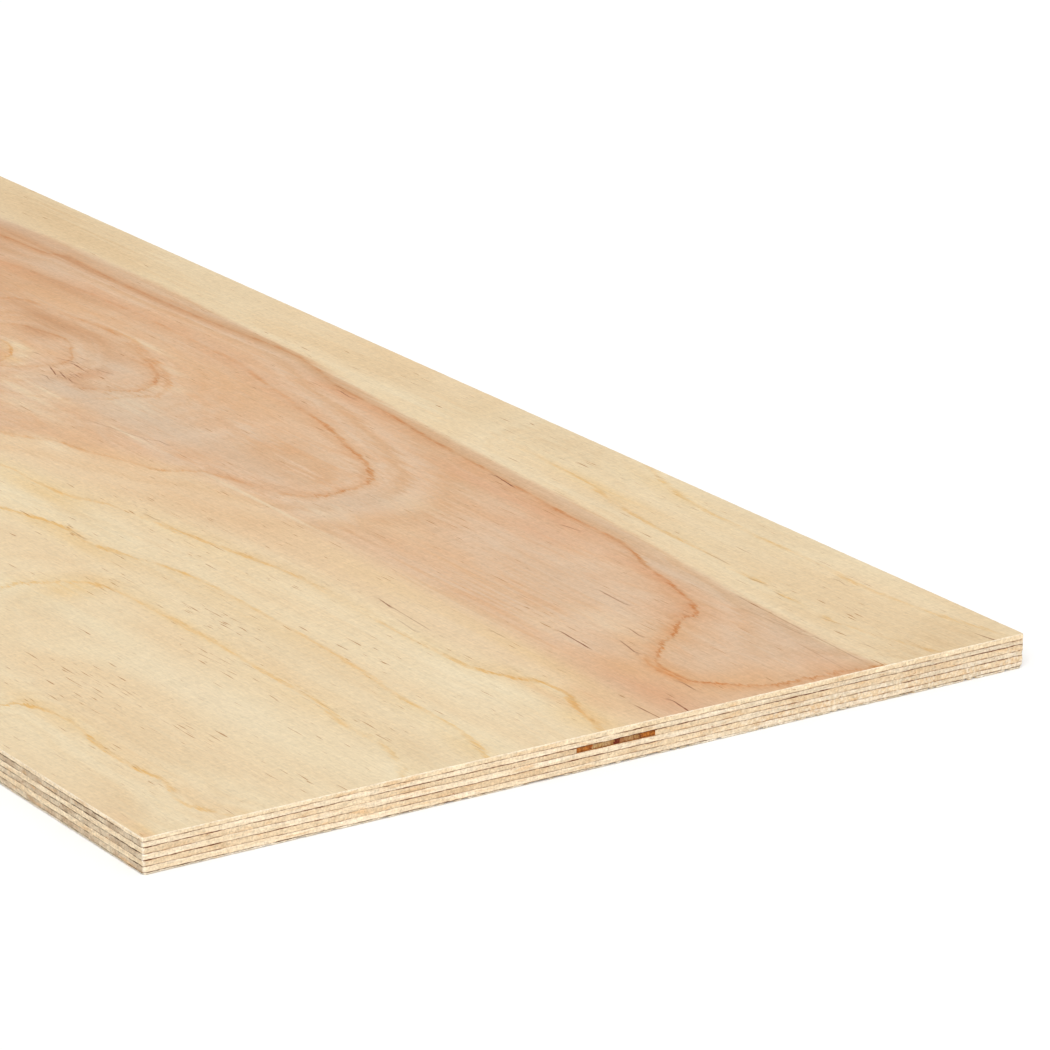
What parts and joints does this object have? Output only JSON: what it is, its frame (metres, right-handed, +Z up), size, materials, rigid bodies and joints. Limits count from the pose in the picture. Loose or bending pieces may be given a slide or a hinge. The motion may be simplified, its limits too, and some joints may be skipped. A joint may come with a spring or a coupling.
{
  "type": "plywood sheet",
  "caption": "Flat plywood sheet of cross-laid veneers with square sawn edges, a figured face and an open knot in one core ply.",
  "frame": {"origin": "centre of the underside, on the surface the sheet lies on", "axes": "+X along the length and the face grain, towards the sawn end with the open knot, +Y across the width, +Z up through the plies to the face"},
  "size_m": [1.25, 0.5, 0.018],
  "materials": {
    "face_veneer": "sanded rotary-cut veneer, cream sapwood with a pinkish-tan heartwood band, uncoated",
    "crossband": "rotary-cut veneer, pale cream along the grain and grey-brown across it, saw-cut edges",
    "core_ply": "rotary-cut veneer, tan across the grain and pale cream along it, saw-cut edges",
    "back_veneer": "sanded rotary-cut veneer, plain, uncoated"
  },
  "bodies": {
    "root": {"face_veneer": "face_veneer", "upper_crossband": "crossband", "upper_core_ply": "core_ply", "middle_crossband": "crossband", "lower_core_ply": "core_ply", "lower_crossband": "crossband", "back_veneer": "back_veneer"}
  },
  "joints": []
}
